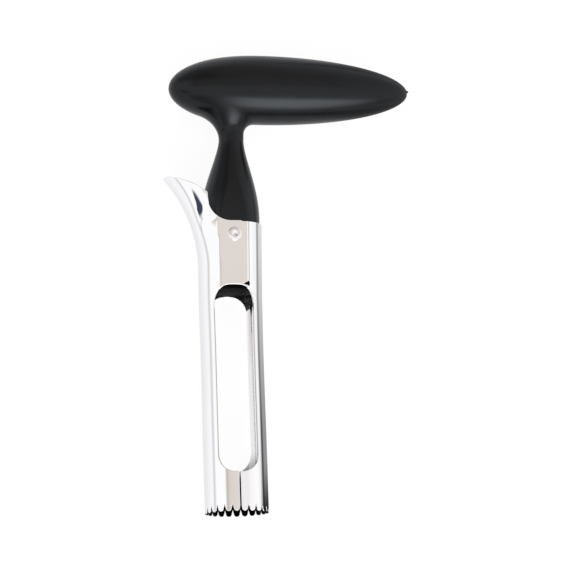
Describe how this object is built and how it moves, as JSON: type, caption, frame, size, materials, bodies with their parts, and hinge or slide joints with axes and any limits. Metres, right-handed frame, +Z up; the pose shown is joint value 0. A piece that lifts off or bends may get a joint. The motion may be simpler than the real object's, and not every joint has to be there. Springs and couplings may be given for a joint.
{
  "type": "apple corer",
  "caption": "Apple corer with a black T handle and a polished steel tube with long windows, a saw-toothed mouth and a thumb lever at its collar.",
  "frame": {"origin": "middle of the base of the box round the corer as it lies on its back", "axes": "+Y from the toothed mouth towards the handle, +X towards the bar's tapered end, +Z up, out of the side with the rivet's dimpled head"},
  "size_m": [0.1006, 0.1849, 0.0279],
  "materials": {
    "black_plastic": "fine matte grain",
    "polished_steel": "mirror polished",
    "rivet_steel": "polished"
  },
  "bodies": {
    "root": {"handle": "black_plastic", "blade": "polished_steel", "rivet": "rivet_steel"}
  },
  "joints": []
}
